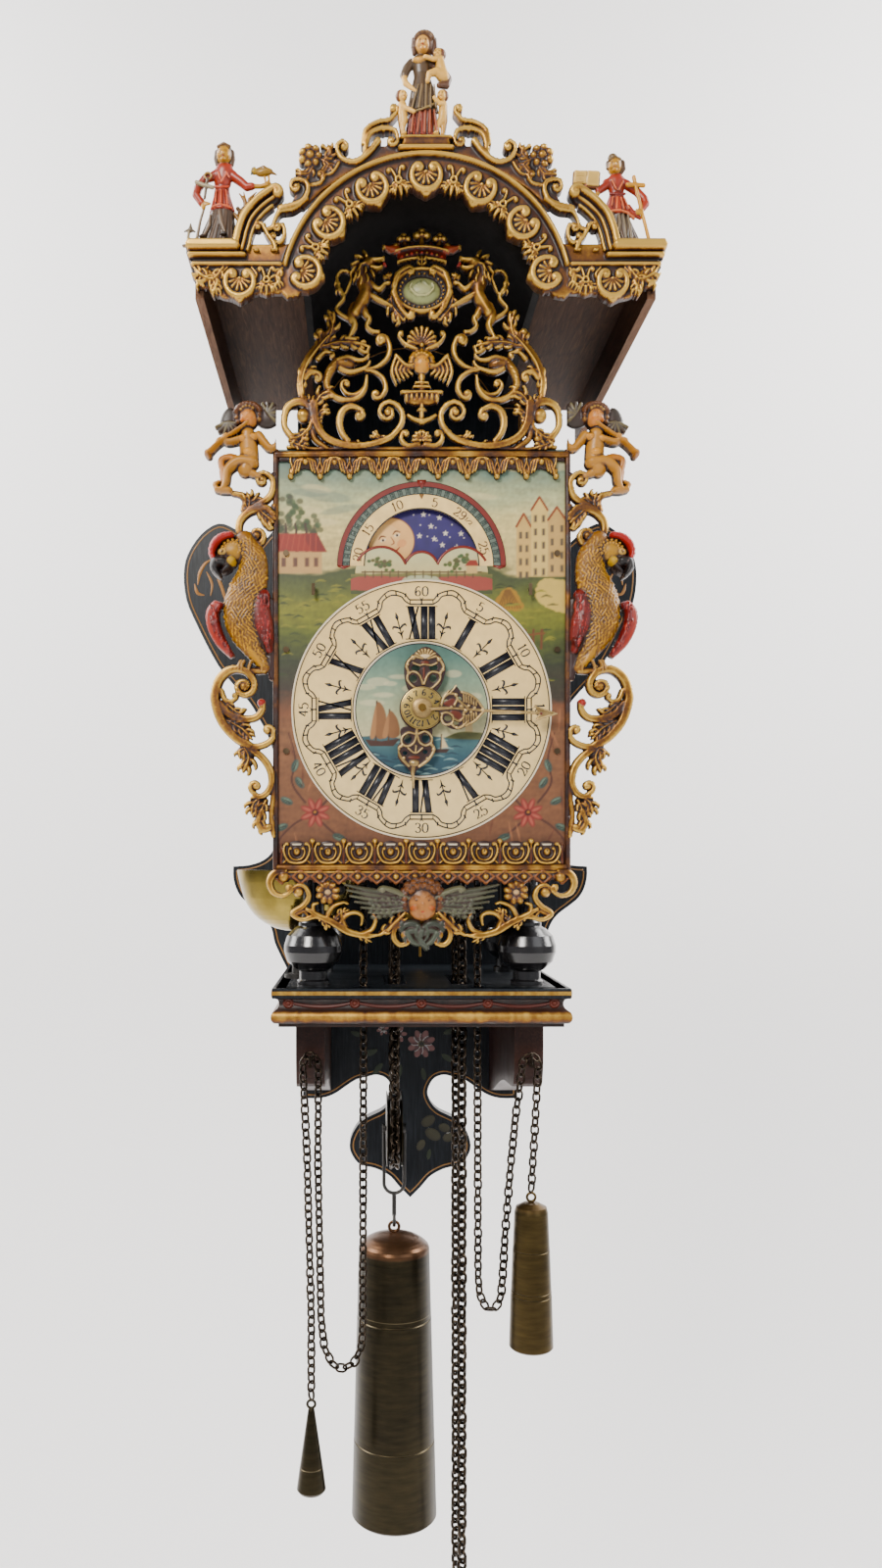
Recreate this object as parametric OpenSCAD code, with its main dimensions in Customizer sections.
// Wall-hung chair clock: carved backboard, canopy with barrel vault, movement on
// turned feet over a seat board, weight-driven with an endless chain.
// Origin: centre of the wall-hook hole on the back face. +Z up, the front faces -Y.

/* [Backboard] */
// Thickness of the backboard
board_t = 12; // [10:0.5:14]
// Diameter of the hole in the hanger plate
hook_d = 10; // [6:0.5:14]

/* [Canopy] */
// Half width of the canopy carcass
hood_hw = 130; // [126:1:134]
// Depth of the canopy carcass
hood_d = 226; // [216:1:228]
// Underside of the canopy top board above the hook
soffit_z = 22; // [18:0.5:26]
// Inner radius of the barrel vault behind the arched board
vault_r = 72; // [66:0.5:74]
// Radius of the arched opening in the front board
arch_r = 61; // [58:0.5:64]
// Height of the vault centre, measured from the hook
vault_z = -5; // [-8:0.5:-2]

/* [Seat] */
// Half width of the seat board
seat_hw = 90; // [86:1:94]
// Front edge of the seat board, distance from the wall
seat_y = 183; // [181:0.5:186]
// Top of the seat board below the hook
seat_z = -396; // [-398:0.5:-394]

/* [Movement] */
// Half width of the top and bottom plates
plate_hw = 72; // [70:0.5:74]
// Top of the bottom plate
base_z = -318; // [-318:1:-318]
// Underside of the top plate
roof_z = -97; // [-97:1:-90]
// Radius of a corner pillar
pillar_r = 5; // [4:0.25:6]
// Radius of the bore for a pivot
bore_r = 1.55; // [1.52:0.01:1.6]

/* [Dial] */
// Half width of the dial plate
dial_hw = 86; // [84:0.5:87]
// Height of the hands' arbor below the hook
dial_z = -228; // [-228:1:-228]
// Radius of the moon disc
moon_r = 40; // [38:0.5:41]

/* [Chain] */
// Outer diameter of the endless chain
chain_d = 7; // [6:0.25:7]
// Outer diameter of the alarm chain
thin_d = 5; // [4.5:0.25:5]
// Pitch radius of the endless chain on both sprockets
sprocket_r = 21; // [21:0.5:21]

/* [Weights] */
// Radius of the main weight at its foot
main_r = 27.5; // [25:0.5:28]
// Radius of the alarm weight at its foot
alarm_r = 13.5; // [12:0.5:14]

/* [Hidden] */
$fn = 64;

wood_black = [0.09, 0.07, 0.06];
wood_brown = [0.30, 0.18, 0.11];
gilt = [0.78, 0.58, 0.28];
brass = [0.80, 0.62, 0.30];
iron = [0.20, 0.20, 0.21];
maroon = [0.33, 0.11, 0.09];
skin = [0.86, 0.68, 0.45];

// train positions, all arbors lie along Y
gx = 6;            // line of the train arbors
great_z = -276;    // both great wheels
third_z = -196;
escape_z = -162.5;
pivot_z = -134;    // anchor arbor and pendulum
hoop_z = -236.7;
fly_z = -211.5;
alarm_z = -279;    // alarm wheel, on X = 0
motion_z = -206;   // stud of the motion wheel, on X = 0
moon_z = -140;
count_x = -4;
count_z = -237.3;
y_front = -160;    // front faces of the three train bars
y_mid = -122;
y_rear = -84;
bar_t = 4;
y_going = -148;    // planes of the two sprockets
y_strike = -102;
bell_x = -78;
bell_y = -114;
foot_x = 66;
foot_yf = -162;
foot_yr = -66;
alarm_y = -168;     // plane of the alarm chain
weight_x = 68;      // drop of the alarm chain with its weight

// ---------- helpers ----------
module bx(x0, x1, y0, y1, z0, z1) translate([x0, y0, z0]) cube([x1 - x0, y1 - y0, z1 - z0]);
module cy(x, y0, y1, z, r, r2 = -1)
  translate([x, y0, z]) rotate([-90, 0, 0]) cylinder(r1 = r, r2 = r2 < 0 ? r : r2, h = y1 - y0);
module cx(x0, x1, y, z, r) translate([x0, y, z]) rotate([0, 90, 0]) cylinder(r = r, h = x1 - x0);
module cz(x, y, z0, z1, r, r2 = -1) translate([x, y, z0]) cylinder(r1 = r, r2 = r2 < 0 ? r : r2, h = z1 - z0);
// an outline drawn in X and Z, given a thickness along Y
module slab(y0, y1) translate([0, y1, 0]) rotate([90, 0, 0]) linear_extrude(y1 - y0) children();

function mirror_pts(p) = [for (i = [len(p) - 1:-1:0]) [-p[i][0], p[i][1]]];
function crp(a, b, c, d, t) = 0.5 * ((2 * b) + (c - a) * t + (2 * a - 5 * b + 4 * c - d) * t * t + (3 * b - a - 3 * c + d) * t * t * t);
// smooth curve through the points p, n steps between two points
function curve(p, n = 4) = concat([for (i = [0:len(p) - 2]) for (k = [0:n - 1])
  crp(p[max(i - 1, 0)], p[i], p[i + 1], p[min(i + 2, len(p) - 1)], k / n)], [p[len(p) - 1]]);

// toothed disc outline: n teeth between the root and tip radii
module teeth(n, rt, rr) polygon([for (i = [0:n - 1]) for (k = [[-0.30, rr], [-0.14, rt], [0.14, rt], [0.30, rr]])
  k[1] * [cos((i + k[0]) * 360 / n), sin((i + k[0]) * 360 / n)]]);
module spokes(n, r0, r1, w) for (i = [0:n - 1]) rotate(i * 360 / n) translate([r0 - 1, -w / 2]) square([r1 - r0 + 2, w]);
// a crossed-out clock wheel in the X Z plane
module wheel(x, y0, y1, z, n, rt, depth, rim, hub, arms = 4) translate([x, 0, z]) slab(y0, y1) {
  difference() { teeth(n, rt, rt - depth); circle(r = rt - depth - rim); }
  spokes(arms, 0, rt - depth - rim, 3);
  circle(r = hub);
}

// ---------- case ----------
edge_up = [[84, -40], [89, -57], [101, -71], [114, -86]];
edge_lobe = [[114, -86], [122, -79], [131, -71], [143, -67], [156, -75], [166, -90], [169, -105], [167, -124],
  [160, -141], [149, -163], [139, -179], [121, -199], [112, -214], [106, -226], [100, -245], [96, -270],
  [97, -292], [102, -310], [109, -318], [120, -322], [132, -323]];
edge_wing = [[132, -323], [132, -331], [130, -339], [126, -346], [119, -352], [111, -358], [106, -364], [103, -371],
  [101, -380], [96, -391], [90, -404], [84, -425], [80, -455], [80, -496]];
edge_cut = [[80, -496], [67, -496], [57, -493], [48, -487], [40, -482], [32, -480], [25, -478.5], [18, -481],
  [14, -487], [13, -493], [16, -500], [21, -505], [27, -508], [33, -511], [39, -516], [44, -525], [45, -534],
  [41, -542], [36, -546], [27, -548], [20, -551], [14, -555], [8, -562], [0, -570]];
half_edge = concat([[0, soffit_z - 0.1], [84, soffit_z - 0.1]], curve(edge_up, 3), curve(edge_lobe, 3), curve(edge_wing, 3), curve(edge_cut, 3));

module backboard() color(wood_black) difference() {
  union() {
    slab(-board_t, 0) polygon(concat(half_edge, mirror_pts(half_edge)));
    // round head that closes the back of the vault
    intersection() {
      cy(0, -board_t, 0, vault_z, vault_r - 0.2);
      bx(-80, 80, -board_t, 0, soffit_z - 1, 80);
    }
  }
  bx(-16, 16, -2, 1, -20, 22);           // seat of the hanger plate
  cy(0, -10, -1, 0, 8);                  // room for the head of the wall hook
  for (s = [-1, 1]) cy(10 * s, -9.3, -1, -14, 1.45);   // pilot holes of its two screws
}

module hanger_plate() color(iron) difference() {
  union() {
    bx(-15.9, 15.9, -2, 0, -19.9, 19.9);
    for (s = [-1, 1]) cy(10 * s, -9, -1.9, -14, 1.4);
  }
  cy(0, -3, 1, 0, hook_d / 2);
}

module hood_carcass() color(wood_brown) difference() {
  union() {
    bx(-hood_hw, hood_hw, -hood_d, 0, soffit_z, soffit_z + 5);
    for (s = [-1, 1]) translate([s > 0 ? hood_hw - 5 : -hood_hw, -hood_d, soffit_z - 24]) cube([5, hood_d, 25]);
  }
  cy(0, -hood_d - 1, 1, vault_z, vault_r + 4.1);
}

module hood_vault() color([0.03, 0.03, 0.03]) intersection() {
  difference() {
    cy(0, -hood_d, 0, vault_z, vault_r + 4);
    cy(0, -hood_d - 1, 1, vault_z, vault_r);
  }
  bx(-80, 80, -hood_d, 0, soffit_z, 90);
}

// front board with the arched opening
module hood_arch_board() color(maroon) difference() {
  union() {
    bx(-hood_hw, hood_hw, -hood_d - 4, -hood_d, 0, soffit_z + 5);
    intersection() {
      cy(0, -hood_d - 4, -hood_d, vault_z, 80);
      bx(-90, 90, -hood_d - 5, -hood_d + 1, soffit_z, soffit_z + 80);
    }
    // shoulders under the quarter arcs
    for (s = [-1, 1]) slab(-hood_d - 4, -hood_d)
      polygon([for (q = [[60, 20], [106.5, 20], [106.5, 28], [105, 36], [100, 44], [92, 50], [80, 53], [46, 61]]) [s * q[0], q[1]]]);
  }
  cy(0, -hood_d - 5, -hood_d + 1, vault_z, arch_r);
  bx(-arch_r, arch_r, -hood_d - 5, -hood_d + 1, -60, vault_z);
}

corn = [[0, 0], [3, 0], [3, 2.5], [1.5, 3.2], [2.2, 6], [4.5, 8.5], [4.5, 11], [0, 11]];
module hood_cornice() color(gilt) {
  // straight fronts and returns along the sides
  difference() {
    union() for (s = [-1, 1]) {
      translate([s > 0 ? 86 : -hood_hw - 4.5, -hood_d - 4, soffit_z - 6]) rotate([90, 0, 90])
        linear_extrude(hood_hw + 4.5 - 86) polygon([for (q = corn) [-q[0], q[1]]]);
      mirror([s > 0 ? 0 : 1, 0, 0]) translate([hood_hw, -hood_d - 8.5, soffit_z - 6]) rotate([90, 0, 180])
        linear_extrude(hood_d + 8.5) polygon([for (q = corn) [-q[0], q[1]]]);
    }
  }
  // arched bead over the opening
  translate([0, -hood_d - 4, vault_z]) rotate([90, 0, 0]) rotate(17) rotate_extrude(angle = 146)
    polygon([[77, 0], [84, 0], [84, 3], [82.5, 4.5], [80.5, 4.5], [79, 3], [77, 2.5]]);
  // quarter mouldings that rise from the cornice to the volutes
  for (s = [0, 1]) mirror([s, 0, 0]) translate([80.5, -hood_d - 4, 26.5]) rotate([90, 0, 0]) rotate_extrude(angle = 90)
    polygon([[24, 0], [28.5, 0], [28.5, 4], [24, 4]]);
}

module hood_frieze() color(gilt) slab(-hood_d - 7, -hood_d - 4) {
  difference() {
    translate([0, vault_z]) circle(r = 76.8);
    translate([0, vault_z]) circle(r = 62);
    translate([-90, -90]) square([180, 90 + soffit_z - 6]);
  }
  for (s = [-1, 1]) difference() {
    translate([s > 0 ? 61.5 : -132, -3]) square([70.5, soffit_z - 3.2]);
    for (x = [66, 96, 126]) translate([s * x, -5]) circle(r = 4.5);
  }
}

module hood_cresting() color(gilt) {
  bx(-15, 15, -hood_d - 7.5, -hood_d - 4, 79.3, 85.2);
  for (s = [-1, 1]) {
    difference() {
      slab(-hood_d - 7.5, -hood_d - 4) polygon([for (q = curve([[14, 80], [20, 94], [30, 98], [44, 88], [60, 82], [70, 68], [78, 59], [80, 55.5], [66, 50], [8, 72]], 3)) [s * q[0], q[1]]]);
      cy(0, -hood_d - 9, -hood_d - 3, vault_z, 84.3);
    }
    // scrollwork in the spandrel
    difference() {
      slab(-hood_d - 7.5, -hood_d - 4) polygon([for (q = [[78, 28], [101, 28], [99, 38], [92, 45], [82, 50], [70, 52]]) [s * q[0], q[1]]]);
      cy(0, -hood_d - 9, -hood_d - 3, vault_z, 84.3);
      for (h = [[90, 33, 3], [85, 42, 2.5]]) cy(s * h[0], -hood_d - 9, -hood_d - 3, h[1], h[2]);
    }
  }
}

module centre_figure() color(skin) translate([0, -hood_d - 5.8, 85.3]) {
  cz(0, 0, 0, 3, 7);
  cz(0, 0, 3, 30, 6.5, 5);
  cz(0, 0, 30, 47, 5, 6);
  cz(0, 0, 46, 52, 2.5);
  translate([0, 0, 54]) sphere(r = 5.8);
  for (s = [-1, 1]) { cz(s * 8.4, -1, 0, 19, 2.8, 2.4); translate([s * 8.4, -1, 20.5]) sphere(r = 3.2); }
  translate([7, -3, 38]) sphere(r = 4.5);
}

module side_figures() for (s = [-1, 1]) color(maroon) translate([s * 117.5, -hood_d - 2, soffit_z + 5.1]) {
  cz(0, 0, 0, 2, 8);
  cz(0, 0, 2, 28, 7.5, 4);
  cz(0, 0, 28, 42, 4, 5.5);
  cz(0, 0, 41, 48, 2);
  translate([0, 0, 50]) sphere(r = 4.8);
  translate([s * -10, -3, 36]) rotate([0, s * 60, 0]) translate([0, 0, -8]) cylinder(r = 2, h = 16);
}

module seat_board() color(wood_black) difference() {
  bx(-seat_hw, seat_hw, -seat_y, -board_t, seat_z - 6, seat_z);
  seat_holes();
}
module seat_holes() {
  for (x = [gx - sprocket_r, gx + sprocket_r]) bx(x - 7, x + 7, -156, -94, seat_z - 30, seat_z + 1);
  for (s = [-1, 1]) cz(s * 35, alarm_y, seat_z - 30, seat_z + 1, 6);
}

// hollow frieze and half-round under the seat, with the base board that closes it
module seat_moulding() color(maroon) difference() {
  union() {
    difference() {
      union() {
        bx(-seat_hw + 6, seat_hw - 6, -seat_y + 6, -board_t, seat_z - 14, seat_z - 6);
        bx(-seat_hw + 2, seat_hw - 2, -seat_y + 4, -board_t, seat_z - 20, seat_z - 14);
        cx(-seat_hw + 2, seat_hw - 2, -seat_y + 4, seat_z - 17, 3);
      }
      bx(-seat_hw + 14, seat_hw - 14, -seat_y + 14, -board_t + 1, seat_z - 20.1, seat_z - 5);
    }
    bx(-seat_hw + 7, seat_hw - 7, -seat_y + 8, -board_t, seat_z - 23.5, seat_z - 20);
  }
  seat_holes();
}

bracket = concat(curve([[-158, -421], [-158, -440], [-156, -452], [-150, -461], [-130, -463], [-100, -466], [-70, -474], [-40, -484], [-12, -490]], 3), [[-12, -419.5], [-158, -419.5]]);
module seat_brackets() color(wood_brown) for (s = [-1, 1]) translate([s > 0 ? 59 : -77, 0, 0])
  rotate([90, 0, 90]) linear_extrude(18) polygon(bracket);

module chain_hooks() color(brass) for (s = [-1, 1]) {
  cy(s * 67.5, -173.6, -158, -444, 1.2);
  translate([s * 67.5, -172.7, -444]) cylinder(r = 0.9, h = 6);
}

module turned_foot() {
  rotate_extrude() polygon([[0, 0], [10, 0], [10, 3], [8.5, 4], [8.5, 9], [11, 10.5], [16, 15], [18, 21], [18, 25],
    [16, 31], [11.5, 35.5], [9, 37], [9, 39], [7.5, 41], [6.5, 50], [6.5, 66], [8, 69], [9, 71], [9, 74], [0, 74]]);
}
module turned_feet() color(wood_black) for (x = [-foot_x, foot_x], y = [foot_yf, foot_yr])
  translate([x, y, seat_z]) turned_foot();

// ---------- movement frame ----------
module bottom_plate() color(iron) {
  difference() {
    bx(-plate_hw, plate_hw, -180, -62, base_z - 4, base_z);
    bx(-22, 34, -155, -125, base_z - 5, base_z + 1);
    bx(-22, 34, -115, -87, base_z - 5, base_z + 1);
    for (s = [-1, 1]) cz(s * 35, alarm_y, base_z - 5, base_z + 1, 5);
    bx(-65, -44, -114, -98, base_z - 5, base_z + 1);      // strike hammer
    bx(-55, -45, -179, -150, base_z - 5, base_z + 1);     // alarm hammer
    door_bores(base_z - 5, base_z + 1);
  }
  // lugs for the strike hammer arbor
  for (y = [-122, -88]) difference() {
    bx(-63, -53, y, y + 3, base_z, -280);
    cy(-58, y - 1, y + 4, -286, bore_r);
  }
  // lugs for the alarm verge
  for (x = [-45, 41]) difference() {
    bx(x, x + 3, -179, -173.5, base_z, -274);
    cx(x - 1, x + 4, -176.2, alarm_z, 1.3);
  }
}
module door_bores(z0, z1) for (s = [-1, 1]) cz(s * 69.5, -64.5, z0, z1, bore_r);
module top_plate() color(iron) difference() {
  bx(-plate_hw, plate_hw, -180, -62, roof_z, roof_z + 4);
  door_bores(roof_z - 1, roof_z + 5);
}
module corner_pillars() color(brass) for (x = [-64, 64], y = [-170, -72])
  translate([x, y, base_z]) rotate_extrude() polygon([[0, 0], [pillar_r, 0], [pillar_r, 6], [3.5, 9], [3.5, 98],
    [pillar_r, 102], [pillar_r, 116], [3.5, 120], [3.5, 209], [pillar_r, 212], [pillar_r, roof_z - base_z], [0, roof_z - base_z]]);

module train_bars() color(iron) {
  difference() {
    union() { bx(-10, 16, y_front, y_front + bar_t, base_z, roof_z); cy(0, -172.6, y_front, alarm_z, 2); cy(0, -175.6, y_front, motion_z, 1.5); }
    cy(0, y_front - 1, y_front + 5, dial_z, 2.05);
    for (z = [great_z, third_z, escape_z, pivot_z]) cy(gx, y_front - 1, y_front + 5, z, bore_r);
  }
  difference() {
    bx(-10, 16, y_mid, y_mid + bar_t, base_z, roof_z);
    for (z = [great_z, third_z, escape_z, hoop_z, fly_z]) cy(gx, y_mid - 1, y_mid + 5, z, bore_r);
    cy(0, y_mid - 1, y_mid + 5, dial_z, bore_r);
    cy(gx, y_mid - 1, y_mid + 5, pivot_z, 2.3);
  }
  difference() {
    union() { bx(-10, 16, y_rear, y_rear + bar_t, base_z, roof_z); cy(count_x, y_rear + bar_t, -74, count_z, 2); }
    for (z = [hoop_z, fly_z]) cy(gx, y_rear - 1, y_rear + 5, z, bore_r);
    for (z = [great_z, pivot_z]) cy(gx, y_rear - 1, y_rear + 5, z, 2.05);
  }
}

module door(s) {
  bx(s > 0 ? 69.2 : -71.2, s > 0 ? 71.2 : -69.2, -162, -66.4, base_z + 1, roof_z - 1);
  cz(s * 69.5, -64.5, base_z - 3, roof_z + 3, 1.5);
  for (z = [base_z + 1, roof_z - 7]) bx(s > 0 ? 67.8 : -71.2, s > 0 ? 71.2 : -67.8, -66.6, -62.7, z, z + 6);
  cx(s > 0 ? 71.2 : -75, s > 0 ? 75 : -71.2, -156, -209, 2);
}
module left_door() color(wood_brown) door(-1);
module right_door() color(wood_brown) door(1);

// ---------- dial and castings ----------
module moon_opening() difference() {
  intersection() { translate([0, moon_z]) circle(r = 34); translate([-40, moon_z - 2]) square([80, 50]); }
  for (s = [-1, 1]) translate([s * 24.5, moon_z - 6]) circle(r = 15.5);
  translate([0, moon_z - 3]) circle(r = 9.5);
}
module dial_plate() color([0.72, 0.62, 0.5]) {
  difference() {
    slab(-182, -180) difference() {
      translate([-dial_hw, -322]) square([2 * dial_hw, 246]);
      moon_opening();
    }
    cy(0, -183, -179, dial_z, 5);
  }
  cy(0, -180, -175, moon_z, 2);
}
module dial_rails() color(gilt) {
  bx(-dial_hw - 2, dial_hw + 2, -186, -180, -76, -72.5);
  bx(-dial_hw - 2, dial_hw + 2, -186, -182, -325.5, -322);
  for (s = [-1, 1]) translate([s > 0 ? dial_hw : -dial_hw - 3.5, -185, -321.9]) cube([3.5, 5, 245.8]);
}
module dial_borders() color(gilt) {
  slab(-185.5, -182) {
    for (i = [-4:4]) difference() {
      translate([i * 18.4 - 9.2, -90]) square([18.4, 13.9]);
      for (s = [-1, 1]) translate([i * 18.4 + s * 9.2, -91]) circle(r = 4.5);
    }
  }
  slab(-185.5, -182) {
    translate([-dial_hw + 0.5, -321.9]) square([2 * dial_hw - 1, 7]);
    for (i = [-4:4]) translate([i * 18.4, -314]) circle(r = 7.5);
  }
}
module dial_pins() color(iron) {
  for (x = [-81.5, 81.5], z = [-134, -192, -253]) cy(x, -183.4, -182, z, 1.8);
  for (s = [-1, 1]) { cy(s * 65, -186, -182, -156, 1); bx(s * 65 - 1, s * 65 + 1, -187, -185.9, -160, -153); }
}
module moon_disc() color([0.25, 0.22, 0.4]) difference() {
  union() {
    translate([0, 0, moon_z]) slab(-178.8, -177.8) teeth(118, moon_r, moon_r - 1.4);
    cy(0, -177.9, -176, moon_z, 5);
  }
  cy(0, -180, -174, moon_z, 2.06);
}

module pierced(holes) difference() { children(0); for (h = holes) translate([h[0], h[1]]) circle(r = h[2]); }
module half_fret(p) polygon(concat(curve(p, 3), mirror_pts(curve(p, 3))));
module top_fret() color(gilt) translate([0, 0, -4]) difference() {
  slab(-186, -181) pierced([for (s = [-1, 1]) for (h = [[22, -50, 4], [42, -30, 6], [14, -18, 3], [50, -8, 5]]) [s * h[0], h[1], h[2]]])
  half_fret([[0, 63], [12, 62], [26, 56], [24, 46], [40, 46], [52, 42], [50, 20], [56, 4], [72, -8], [78, -30], [80, -50], [82, -62], [70, -68.5], [0, -68.5]]);
  bx(-90, 90, -187, -180, -76, -68.3);
}

side_out = [[89.6, -74], [96, -50], [106, -42], [118, -48], [124, -62], [120, -80], [104, -98], [110, -112], [122, -122],
  [130, -132], [134, -150], [130, -172], [118, -192], [128, -206], [126, -222], [122, -246], [112, -270], [100, -290], [92, -302], [89.6, -306]];
module side_fret(s) slab(-186, -181) pierced([for (h = [[98, -100, 3.5], [100, -205, 4], [104, -232, 6], [98, -262, 3.5]]) [s * h[0], h[1], h[2]]])
  polygon([for (q = curve(side_out, 3)) [s * q[0], q[1]]]);
module left_side_fret() color(gilt) side_fret(-1);
module right_side_fret() color(gilt) side_fret(1);

module apron_fret() color(gilt) difference() {
  slab(-186, -181) pierced([for (s = [-1, 1]) for (h = [[24, -346, 4], [50, -344, 4], [74, -340, 4]]) [s * h[0], h[1], h[2]]])
  half_fret([[0, -372], [7, -366], [14, -364], [24, -360], [40, -358], [54, -352], [70, -350], [84, -342], [90, -333], [88, -325.6], [0, -325.6]]);
  bx(-95, 95, -187, -180, -325.7, -318);
}

// ---------- bell ----------
module bell() color(brass) translate([bell_x, bell_y, -365]) difference() {
  rotate_extrude() polygon(concat(curve([[4, 0], [14, 1.5], [26, 8], [34, 18], [38, 30], [39.4, 36], [40, 40]], 3),
    curve([[37.6, 40], [37.2, 36], [35.6, 30], [31.6, 19.2], [24.5, 10], [13.4, 4], [4, 2.6]], 3)));
  cylinder(r = 2, h = 12, center = true);
}
module bell_stand() color(iron) translate([bell_x, bell_y, 0]) {
  cz(0, 0, seat_z, seat_z + 3, 9);
  cz(0, 0, seat_z + 2.9, -365.2, 4, 3.4);
  cz(0, 0, -365.3, -357, 1.9);
  cz(0, 0, -362.3, -359, 4.5);
}

// ---------- pendulum and escapement ----------
module pendulum_cock() color(iron) {
  bx(gx - 9, gx + 9, -14, -board_t, -150, -118);
  bx(gx - 5, gx + 5, -34, -13.9, -139, -129);
  cy(gx, -44.5, -33.9, pivot_z, 1.5);
  cy(gx, -46.5, -44.4, pivot_z, 3);
}
module pendulum() {
  color(iron) difference() {
    union() {
      cy(gx, -42, -38, pivot_z, 4);
      cz(gx, -40, -388, pivot_z, 1);
    }
    cy(gx, -47, -33, pivot_z, bore_r);
  }
  color(brass) difference() {
    translate([gx, -40, -352]) rotate([90, 0, 0]) rotate_extrude() polygon([[0, -4.4], [6, -4.1], [12, -2.8], [16, -1.4], [18, -0.5], [18, 0.5], [16, 1.4], [12, 2.8], [6, 4.1], [0, 4.4]]);
    cz(gx, -40, -400, -300, 1.05);
  }
  color(brass) difference() { cz(gx, -40, -377, -373.5, 4); cz(gx, -40, -400, -300, 1.05); }
}
module pallet_anchor() color(iron) {
  cy(gx, y_front + bar_t + 0.1, -70, pivot_z, 2);
  cy(gx, y_front + 0.1, y_front + bar_t + 0.2, pivot_z, 1.5);
  slab(-150.5, -148) translate([gx, pivot_z]) difference() {
    union() { circle(r = 5);
      polygon([[-3, 3], [3, 3], [14, -5], [16.5, -16], [13, -16.5], [10.5, -7], [0, -2.5], [-10.5, -7], [-13, -16.5], [-16.5, -16], [-14, -5]]); }
    circle(r = 1.9);
  }
  bx(gx - 2, gx + 2, -72, -70, -186, pivot_z + 3);
  for (s = [-1, 1]) cy(gx + s * 2.4, -70.1, -36, -184, 1);
}
module escape_wheel() color(brass) {
  wheel(gx, -150, -148.6, escape_z, 32, 14.8, 2.4, 2.2, 4);
  pinion(-131.5, -127, escape_z, 8, 3.3);
  arbor(escape_z, y_front, y_mid + bar_t);
}
// arbor between two bars with its two pivots
module arbor(z, y0, y1, r = 2) { cy(gx, y0 + bar_t + 0.1, y1 - bar_t - 0.1, z, r); cy(gx, y0 + 0.1, y1 - 0.1, z, 1.5); }
module pinion(y0, y1, z, n, r, x = gx) translate([x, 0, z]) slab(y0, y1) teeth(n, r, r - 1);
module third_wheel() color(brass) {
  wheel(gx, -129.9, -128.4, third_z, 96, 29.8, 1.1, 2.6, 5);
  pinion(-142.5, -137.5, third_z, 8, 3.3);
  arbor(third_z, y_front, y_mid + bar_t);
}
module centre_wheel() color(brass) {
  wheel(0, -141, -139.4, dial_z, 80, 28.8, 1.3, 2.6, 6);
  pinion(-135, -130.6, dial_z, 24, 12, 0);
  cy(0, -194, y_mid - 0.1, dial_z, 2);
  cy(0, y_mid - 0.2, y_mid + bar_t - 0.1, dial_z, 1.5);
  difference() { cy(0, -190, -166, dial_z, 3); cy(0, -200, -160, dial_z, 1.9); }
  pinion(-168.5, -164.5, dial_z, 20, 5.3, 0);
}
module sprocket(y) translate([gx, y, great_z]) rotate([90, 0, 0]) {
  rotate_extrude() polygon([[8, -5], [18.6, -5], [18.6, -4.2], [17.2, -3], [17.2, 3], [18.6, 4.2], [18.6, 5], [8, 5]]);
}
module going_great_wheel() color(brass) {
  wheel(gx, -134, -131, great_z, 72, 35.9, 1.5, 4, 9);
  sprocket(y_going);
  cy(gx, -154, -131, great_z, 8.5);
  cy(gx, y_front + bar_t + 0.1, y_mid - 0.1, great_z, 2.5);
  cy(gx, y_front + 0.1, y_mid + 1.8, great_z, 1.5);
}
module motion_wheel() color(brass) difference() {
  union() {
    wheel(0, -168, -165.6, motion_z, 60, 16.2, 1.3, 2.2, 4);
    pinion(-175, -167.9, motion_z, 12, 4.3, 0);
  }
  cy(0, -180, -160, motion_z, 1.56);
}
module hour_wheel() color(brass) difference() {
  union() {
    wheel(0, -174.6, -173, dial_z, 48, 17.2, 1.5, 2.4, 7);
    cy(0, -190, -173, dial_z, 4.4);
  }
  cy(0, -192, -170, dial_z, 3.08);
}

module hour_hand() color(brass) translate([0, 0, dial_z]) rotate([0, 6, 0]) difference() {
  union() {
    cy(0, -188, -186.6, 0, 8);
    slab(-188, -186.6) polygon([[-2.2, 5], [-2.2, -7], [-6, -18], [-8, -25], [-5, -32], [-1.2, -38], [0, -47.5], [1.2, -38], [5, -32], [8, -25], [6, -18], [2.2, -7], [2.2, 5]]);
    slab(-188, -186.6) polygon([[-1.8, 4], [-1.8, 8], [-6, 15], [-5.5, 23], [-1.5, 29], [0, 35.5], [1.5, 29], [5.5, 23], [6, 15], [1.8, 8], [1.8, 4]]);
  }
  cy(0, -189, -185, 0, 4.45);
  cy(0, -189, -185, -25, 3.2);
  cy(0, -189, -185, 19, 2.4);
}
module minute_hand() color(brass) translate([0, 0, dial_z]) rotate([0, 2.5, 0]) difference() {
  union() {
    cy(0, -192, -190.6, 0, 6);
    slab(-192, -190.6) polygon([[3, 2.3], [6, 2.3], [12, 5.5], [20, 8], [28, 5], [38, 1.4], [66, 1], [68, 4], [81, 0], [68, -4], [66, -1], [38, -1.4], [28, -5], [20, -8], [12, -5.5], [6, -2.3], [3, -2.3]]);
  }
  cy(0, -193, -190, 0, 2.04);
  cy(20, -193, -190, 0, 3.4);
}
module alarm_disc() color(brass) difference() {
  cy(0, -189.8, -188.5, dial_z, 12.8);
  cy(0, -191, -187, dial_z, 4.48);
}

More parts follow.
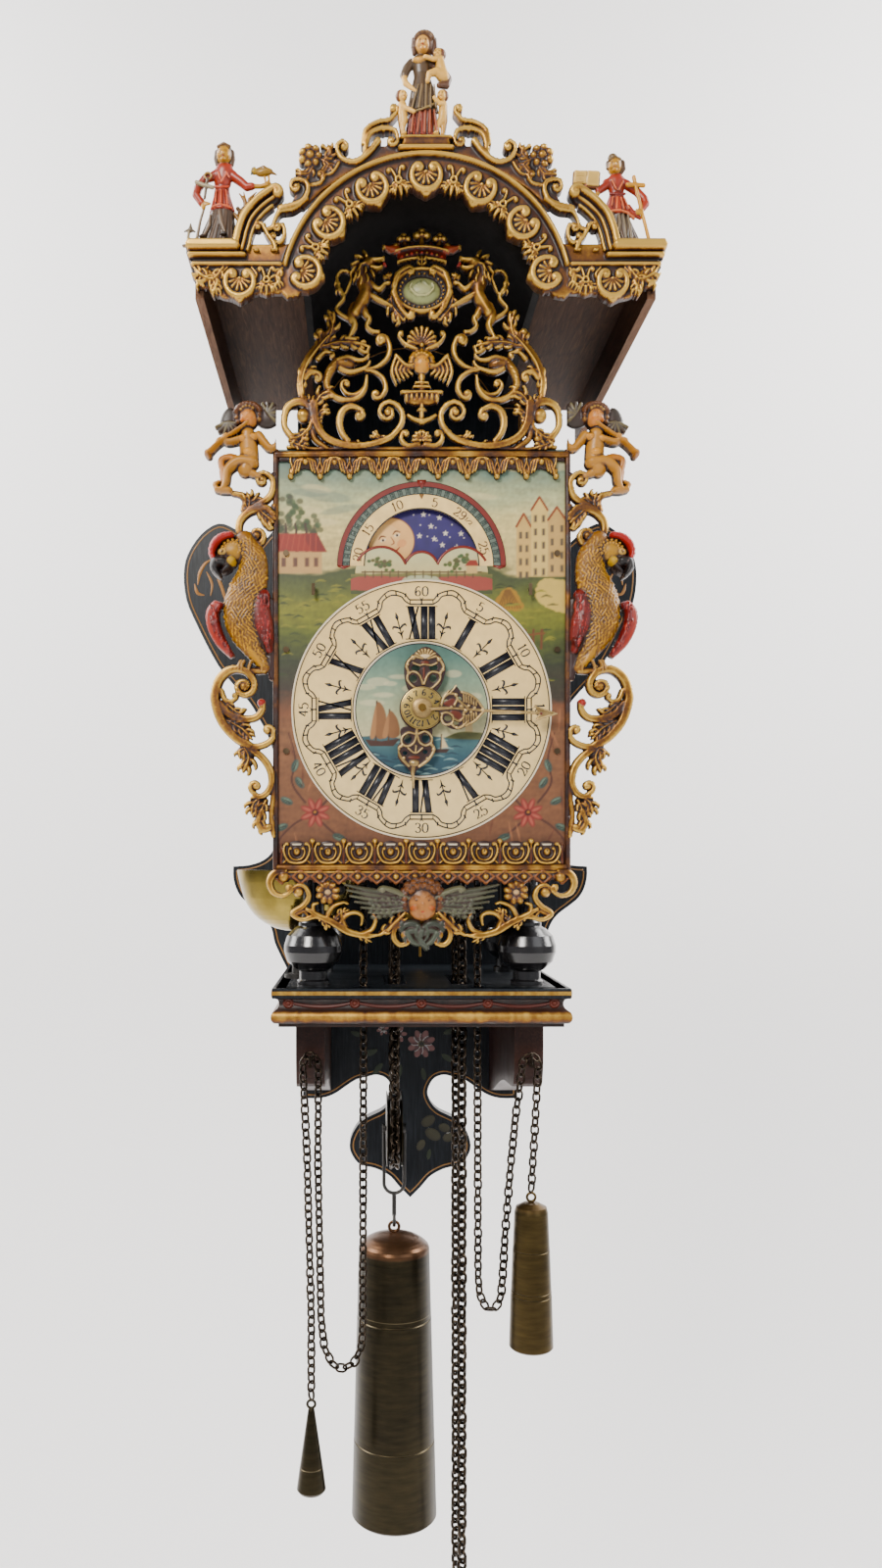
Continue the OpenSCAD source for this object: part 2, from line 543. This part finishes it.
// ---------- alarm ----------
module alarm_wheel() color(brass) difference() {
  union() {
    translate([0, -168, alarm_z]) rotate([90, 0, 0]) rotate_extrude() polygon([[28, -3.8], [37, -3.8], [37, -3.1], [31.8, -2.8],
      [31.8, 2.8], [37, 3.1], [37, 3.8], [28, 3.8]]);
    translate([0, 0, alarm_z]) slab(-171, -169) spokes(4, 3, 29, 4);
    cy(0, -171, -162, alarm_z, 5);
    translate([0, 0, alarm_z]) slab(-173, -171.7) for (i = [0:14]) rotate(i * 24) translate([29, -1]) square([3, 2]);
  }
  cy(0, -175, -150, alarm_z, 2.06);
}
module alarm_hammer() color(iron) {
  cx(-53, 46, -176.2, alarm_z, 1.25);
  for (x = [-33, 29]) translate([x, -176.2, alarm_z]) rotate([x < 0 ? 50 : -50, 0, 0]) translate([0, 0, -0.6]) cube([4, 2.2, 1.2]);
  cz(-50, -176.2, -336, alarm_z, 1.5);
  cx(-52, -48, -176.2, alarm_z, 2.4);
  translate([-50, -176.2, -336]) sphere(r = 4);
}

// ---------- strike ----------
module strike_great_wheel() color(brass) {
  wheel(gx, -94, -91, great_z, 78, 35.9, 1.5, 5, 9);
  sprocket(y_strike);
  cy(gx, -110, -91, great_z, 8.5);
  for (i = [0:12]) rotate_about(gx, great_z, i * 360 / 13) cy(gx + 31, -91.1, -87.5, great_z, 1.3);
  cy(gx, y_mid + bar_t + 0.1, y_rear - 0.1, great_z, 2.5);
  cy(gx, y_mid + 2.2, y_mid + bar_t + 0.2, great_z, 1.5);
  cy(gx, y_rear - 0.2, -74, great_z, 2);
  pinion(-79, -75, great_z, 8, 4);
}
module rotate_about(x, z, a) translate([x, 0, z]) rotate([0, -a, 0]) translate([-x, 0, -z]) children();
module strike_arbor(z) { cy(gx, y_mid + bar_t + 0.1, y_rear - 0.1, z, 2); cy(gx, y_mid + 0.1, y_rear + bar_t - 0.1, z, 1.5); }
module hoop_wheel() color(brass) {
  wheel(gx, -114, -112.4, hoop_z, 64, 21.8, 1.4, 2.4, 5);
  pinion(-95, -90, hoop_z, 6, 2.9);
  strike_arbor(hoop_z);
}
module fly() color(iron) {
  pinion(-116, -110.5, fly_z, 8, 2.9);
  strike_arbor(fly_z);
  bx(gx - 17, gx + 17, -106, -90, fly_z - 0.6, fly_z + 0.6);
}
module count_wheel() color(brass) difference() {
  union() {
    translate([count_x, 0, count_z]) slab(-78.5, -76) {
      difference() { circle(r = 34); circle(r = 29); for (a = [0, 14, 34, 60, 92, 130, 174, 224, 280, 342]) rotate(a) translate([31.5, -1.6]) square([4, 3.2]); }
      spokes(4, 0, 30, 3); circle(r = 6);
    }
    translate([count_x, 0, count_z]) slab(-76.1, -75) difference() { teeth(48, 35.6, 34.2); circle(r = 30); }
  }
  cy(count_x, -82, -70, count_z, 2.06);
}
module strike_hammer() color(iron) {
  cy(-58, -122.9, -84.1, -286, 1.5);
  cy(-58, -118.5, -88.5, -286, 2.2);
  bx(-59.5, -56.5, -107.5, -104.5, -337.5, -285);
  bx(-103, -56.5, -107.5, -104.5, -337.5, -334.5);
  cx(-108.4, -100, -106, -336, 3.8);
  bx(-58, -28, -90.6, -88.5, -287.2, -284.8);
}

// ---------- weights ----------
px = gx - sprocket_r;   // left strands and the pulley
pz = -493;
module pulley() color(brass) difference() {
  translate([px, -125, pz]) rotate([0, 90, 0]) rotate_extrude()
    polygon([[1.56, -5], [24, -5], [24, -4.6], [18.8, -3.3], [18.8, 3.3], [24, 4.6], [24, 5], [1.56, 5]]);
  for (i = [0:4]) rotate([0, 0, 0]) translate([px, -125, pz]) rotate([i * 72, 0, 0]) translate([-6, 11, 0]) rotate([0, 90, 0]) cylinder(r = 3.6, h = 12);
}
module stirrup() color(iron) {
  cx(px - 7.6, px + 7.6, -125, pz, 1.5);
  for (s = [-1, 1]) {
    cx(px + s * 6.6 - 1, px + s * 6.6 + 1, -125, pz, 3.2);
    cz(px + s * 6.6, -125, -528.5, pz, 1.1);
  }
  translate([px, -125, -528.5]) rotate([90, 0, 0]) rotate(180) rotate_extrude(angle = 180) translate([6.6, 0]) circle(r = 1.1);
  cz(px, -125, -549.6, -534.5, 1.4);
  // hook at the foot of the loop, through the ring of the weight
  translate([px, -125, -552.5]) rotate([0, 90, 0]) rotate(140) rotate_extrude(angle = 290) translate([3.4, 0]) circle(r = 1.1);
}
module main_weight() color(brass) {
  translate([px, -125, -556.8]) rotate([90, 0, 0]) rotate_extrude() translate([3.2, 0]) circle(r = 1);
  cz(px, -125, -562, -559.6, 1.9);
  translate([px, -125, -743.6]) rotate_extrude() polygon(concat([[0, 0], [main_r - 1.5, 0], [main_r, 1.5], [26.3, 49.2], [25.7, 49.8], [26.2, 50.4],
    [24.2, 128.6], [23.6, 129.2], [24.1, 129.8], [23, 171]], curve([[23, 171], [22.2, 175.5], [16, 180], [8, 182.3], [2.5, 183]], 3), [[0, 183]]));
}
module alarm_weight() color(brass) {
  translate([weight_x, -168, -525.5]) rotate([90, 0, 0]) rotate_extrude() translate([2.6, 0]) circle(r = 0.8);
  translate([weight_x, -168, -617.6]) rotate_extrude() polygon([[0, 0], [alarm_r - 1, 0], [alarm_r, 1], [12.6, 32], [12.1, 32.4], [12.5, 32.8], [12.4, 35], [11.9, 35.4], [12.3, 35.8],
    [11.4, 60], [10.9, 60.4], [11.3, 60.8], [10.3, 83], [9.4, 86.3], [5, 88.6], [0, 89.2]]);
}
module counterweight() color(brass) {
  translate([-67, -168, -652.5]) rotate([90, 0, 0]) rotate_extrude() translate([2.4, 0]) circle(r = 0.8);
  translate([-67, -168, -706]) rotate_extrude() polygon([[0, 0], [7.6, 0], [8.9, 1.8], [7.1, 15], [6.9, 15.2], [7, 15.6], [2, 50], [1.3, 51.4], [0, 51.4]]);
}
module tension_ring() color(iron) translate([gx + sprocket_r, -125, -802]) rotate([90, 0, 0])
  rotate_extrude() translate([9.6, 0]) circle(r = 4);

// ---------- chains ----------
// closed tube of n sides swept along the points p
function unit(v) = v / norm(v);
function tang(p, i) = unit(p[min(i + 1, len(p) - 1)] - p[max(i - 1, 0)]);
// reference directions carried along the curve without twist
function carry(p, u, i = 0) = i == len(p) ? [] : let (t = tang(p, i), v = unit(u - t * (u * t))) concat([v], carry(p, v, i + 1));
module tube(p, r, side, n = 8) {
  m = len(p);
  ref = carry(p, side);
  pts = [for (i = [0:m - 1]) let (t = tang(p, i), u = ref[i], v = cross(t, u)) for (k = [0:n - 1])
    p[i] + r * (cos(360 * k / n) * u + sin(360 * k / n) * v)];
  faces = concat([[for (k = [0:n - 1]) k]], [for (i = [0:m - 2]) for (k = [0:n - 1])
    [i * n + k, (i + 1) * n + k, (i + 1) * n + (k + 1) % n, i * n + (k + 1) % n]], [[for (k = [n - 1:-1:0]) (m - 1) * n + k]]);
  polyhedron(points = pts, faces = faces);
}
// quarter of a turn over a sprocket, from its top to the strand on side s
function over(s, y, z0, n = 5) = [for (i = [0:n]) [gx + s * sprocket_r * sin(i * 90 / n), y, z0 + sprocket_r * cos(i * 90 / n)]];
function under(x, zc, n = 8) = [for (i = [0:n]) [x, -125 - 23 * cos(i * 180 / n), zc - 23 * sin(i * 180 / n)]];
function rev(p) = [for (i = [len(p) - 1:-1:0]) p[i]];
// one endless loop: over the going sprocket, down the left side, under the pulley, over the strike
// sprocket, down the right side through the tension ring, and back
function cut_ends(p) = concat([p[0] + [-0.4, 0, 0]], [for (i = [1:len(p) - 2]) p[i]], [p[len(p) - 1] + [0.4, 0, 0]]);
loop = cut_ends(concat(over(-1, y_going, great_z), [[px, y_going, -380]], under(px, pz), [[px, y_strike, -380]],
  rev(over(-1, y_strike, great_z)), [for (q = over(1, y_strike, great_z)) if (q[0] > gx + 1) q], [[gx + sprocket_r, y_strike, -520]],
  rev(under(gx + sprocket_r, -777)), [[gx + sprocket_r, y_going, -520]], rev(over(1, y_going, great_z))));
module main_chain() color(iron) tube(loop, chain_d / 2, [0, 1, 0]);

alarm_left = [[-0.7, -168, -244], [-13, -168, -246.5], [-25, -168, -254.5], [-33, -168, -267], [-35, -168, -279], [-35, -168, -440], [-35.4, -168, -600],
  [-36, -168, -616], [-40, -168, -626], [-47, -168, -631], [-54, -168, -628], [-59, -168, -618], [-61, -168, -600], [-63, -168, -500],
  [-62.6, -168, -447], [-63.2, -168, -442], [-65, -168, -439.2], [-68, -168, -438.6], [-70.9, -168, -440], [-72.2, -168, -445], [-69.6, -168, -500], [-67, -168, -600], [-67, -168, -649]];
alarm_right = [[0.7, -168, -244], [13, -168, -246.5], [25, -168, -254.5], [33, -168, -267], [35, -168, -279], [35, -168, -440], [35.4, -168, -572],
  [36, -168, -582], [38, -168, -590], [42, -168, -594.5], [46.5, -168, -593], [49.5, -168, -586], [50.5, -168, -574], [52, -168, -548], [55, -168, -510], [58.5, -168, -475],
  [62, -168, -450], [63, -168, -442.6], [65, -168, -439.4], [68, -168, -438.6], [71, -168, -440], [72.2, -168, -445.4], [70.4, -168, -480], [68, -168, -521.6]];
module alarm_chain_left() color(iron) tube(alarm_left, thin_d / 2, [0, 1, 0], 8);
module alarm_chain_right() color(iron) tube(alarm_right, thin_d / 2, [0, 1, 0], 8);

backboard();
hanger_plate();
hood_carcass();
hood_arch_board();
hood_vault();
hood_cornice();
hood_frieze();
hood_cresting();
centre_figure();
side_figures();
seat_board();
seat_moulding();
seat_brackets();
chain_hooks();
turned_feet();
bottom_plate();
top_plate();
corner_pillars();
train_bars();
left_door();
right_door();
dial_plate();
dial_rails();
dial_borders();
dial_pins();
moon_disc();
top_fret();
left_side_fret();
right_side_fret();
apron_fret();
bell();
bell_stand();
pendulum_cock();
pendulum();
pallet_anchor();
escape_wheel();
third_wheel();
centre_wheel();
going_great_wheel();
hour_wheel();
hour_hand();
minute_hand();
alarm_disc();
alarm_wheel();
alarm_hammer();
strike_great_wheel();
hoop_wheel();
fly();
count_wheel();
strike_hammer();
pulley();
stirrup();
main_weight();
alarm_weight();
counterweight();
tension_ring();
motion_wheel();
main_chain();
alarm_chain_left();
alarm_chain_right();
